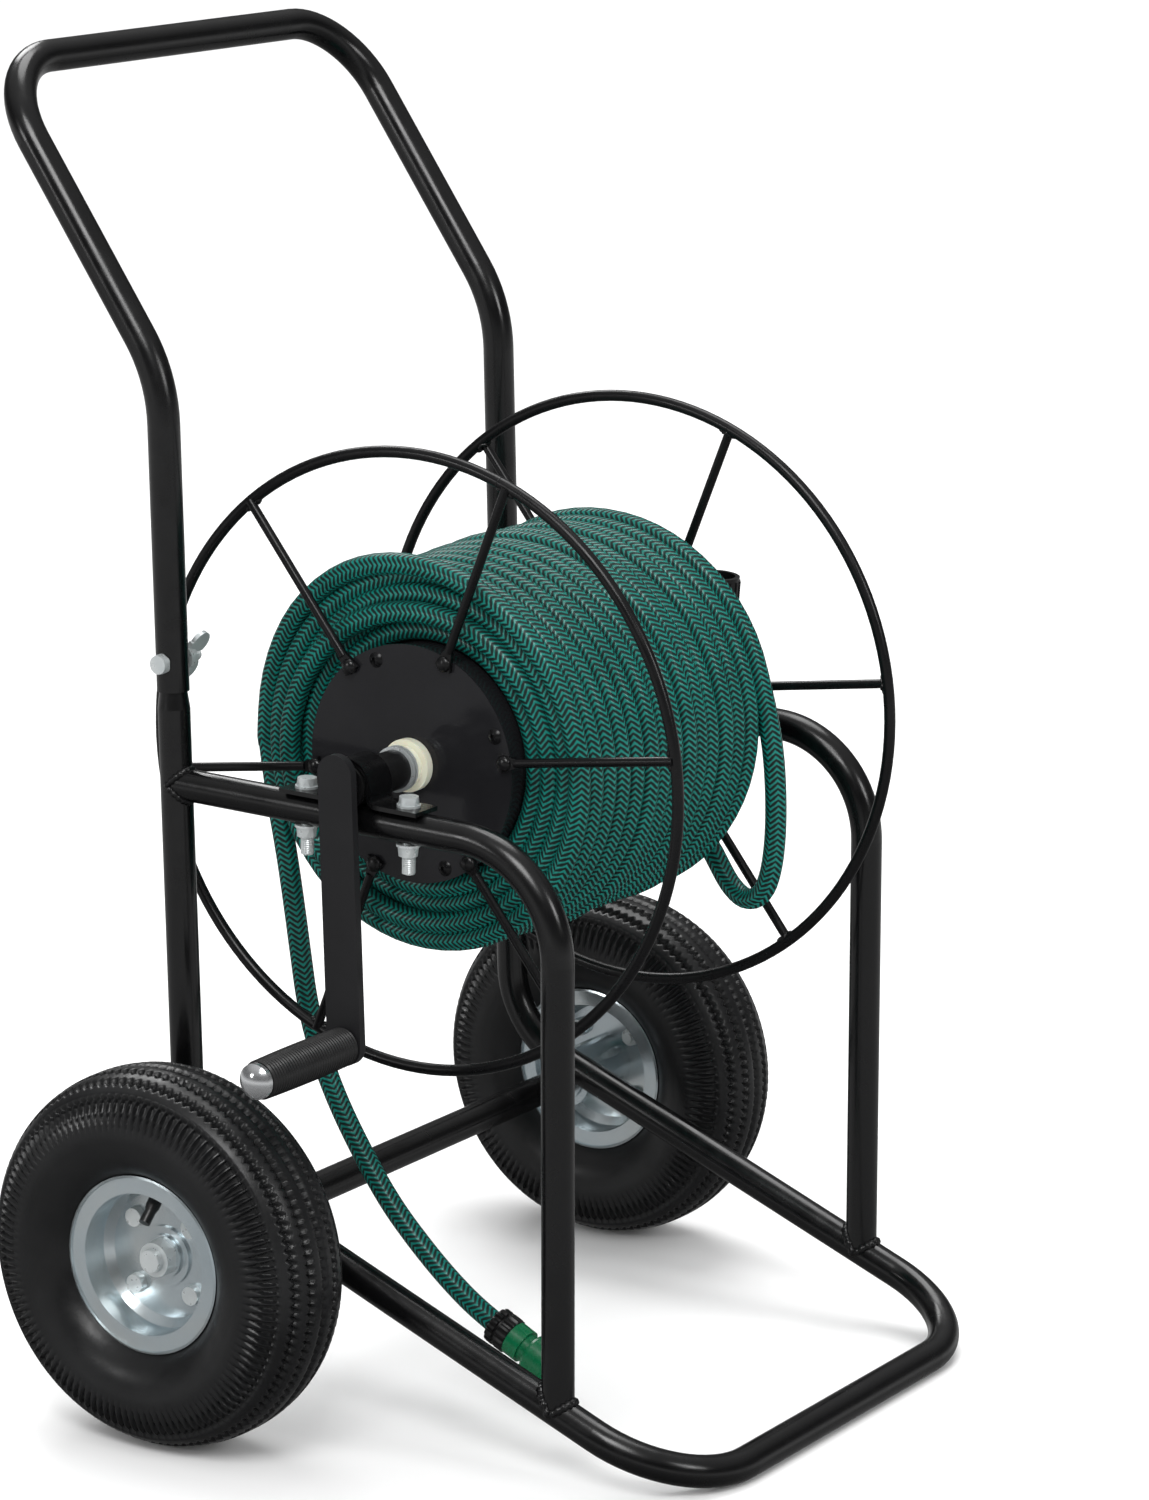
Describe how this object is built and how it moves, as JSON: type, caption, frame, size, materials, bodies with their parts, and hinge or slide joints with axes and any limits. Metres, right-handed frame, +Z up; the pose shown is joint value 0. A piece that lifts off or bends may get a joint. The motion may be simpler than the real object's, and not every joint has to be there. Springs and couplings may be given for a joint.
{
  "type": "hose reel cart",
  "caption": "Two-wheeled tubular steel cart carrying a hand-cranked garden hose reel, with a bent push handle, wire flanges and wound green hose.",
  "frame": {"origin": "on the floor under the middle of the cart's outer size", "axes": "+Z up, +X along the reel and wheel axles away from the crank, +Y towards the handle side"},
  "size_m": [0.6395, 0.572, 0.918],
  "materials": {
    "black_powder_coat": "gloss",
    "zinc_steel": "satin",
    "chrome": "polished",
    "tyre_rubber": "satin",
    "butyl_rubber": "matte",
    "black_rubber": "matte",
    "black_plastic": "satin",
    "cream_nylon": "satin",
    "brass": "satin",
    "green_hose": "gloss",
    "green_plastic": "satin"
  },
  "bodies": {
    "frame": {"axle_cross_tube": "black_powder_coat", "axle_nuts": "zinc_steel", "axle_washers": "zinc_steel", "base_frame_tube": "black_powder_coat", "bearing_bushes": "black_plastic", "bearing_strap_bolts": "zinc_steel", "bearing_strap_nuts": "zinc_steel", "bearing_strap_washers": "zinc_steel", "bearing_straps": "black_powder_coat", "handle_bolts": "zinc_steel", "handle_tube": "black_powder_coat", "handle_wing_nuts": "zinc_steel", "hose_collar_nut": "black_plastic", "hose_tail": "green_hose", "inlet_connector": "black_plastic", "inlet_lock_nut": "brass", "inlet_riser": "brass", "left_side_hoop": "black_powder_coat", "quick_connector_body": "green_plastic", "right_side_hoop": "black_powder_coat", "swivel_housing": "brass", "wheel_axle": "zinc_steel"},
    "left_wheel": {"left_tyre": "tyre_rubber", "left_inner_tube": "butyl_rubber", "left_rim_bolts_and_nuts": "zinc_steel", "left_rim_outer_half": "zinc_steel", "left_rim_inner_half": "zinc_steel", "left_valve_stem": "black_rubber", "left_hub": "zinc_steel", "left_wheel_bearings": "zinc_steel"},
    "right_wheel": {"right_tyre": "tyre_rubber", "right_inner_tube": "butyl_rubber", "right_rim_bolts_and_nuts": "zinc_steel", "right_rim_outer_half": "zinc_steel", "right_rim_inner_half": "zinc_steel", "right_valve_stem": "black_rubber", "right_hub": "zinc_steel", "right_wheel_bearings": "zinc_steel"},
    "reel": {"reel_axle": "black_powder_coat", "drum_sheet": "black_powder_coat", "drum_outlet_pipe": "brass", "drum_tie_bolts": "black_powder_coat", "drum_tie_nuts": "zinc_steel", "drum_discs": "black_powder_coat", "left_flange_ring": "black_powder_coat", "right_flange_ring": "black_powder_coat", "left_flange_spokes": "black_powder_coat", "right_flange_spokes": "black_powder_coat", "nylon_bushes": "cream_nylon", "thrust_washers": "zinc_steel", "axle_spacer_sleeves": "black_powder_coat", "crank_arm": "black_powder_coat", "grip_spindle": "zinc_steel", "grip_end_cap": "chrome", "swivel_nipple": "brass", "swivel_seals": "black_rubber", "hose_pack": "green_hose", "hose_slack_loop": "green_hose"},
    "grip": {"hand_grip": "black_rubber"},
    "connector_sleeve": {"quick_connector_sleeve": "green_plastic"}
  },
  "joints": [
    {"name": "left_wheel_spin", "type": "hinge", "parent": "frame", "child": "left_wheel", "pos_m": [-0.26475, 0.088, 0.13], "axis": [1, 0, 0], "continuous": true},
    {"name": "right_wheel_spin", "type": "hinge", "parent": "frame", "child": "right_wheel", "pos_m": [0.27725, 0.088, 0.13], "axis": [1, 0, 0], "continuous": true},
    {"name": "reel_spin", "type": "hinge", "parent": "frame", "child": "reel", "pos_m": [0.00625, -0.019, 0.454], "axis": [1, 0, 0], "continuous": true},
    {"name": "grip_spin", "type": "hinge", "parent": "reel", "child": "grip", "pos_m": [-0.26375, -0.02413, 0.28108], "axis": [1, 0, 0], "continuous": true},
    {"name": "connector_sleeve_slide", "type": "slide", "parent": "frame", "child": "connector_sleeve", "axis": [-0.0379, -0.9084, -0.4164], "range_m": [-0.005, 0], "stiffness_N_per_m": 300, "springref_m": 0.002}
  ]
}
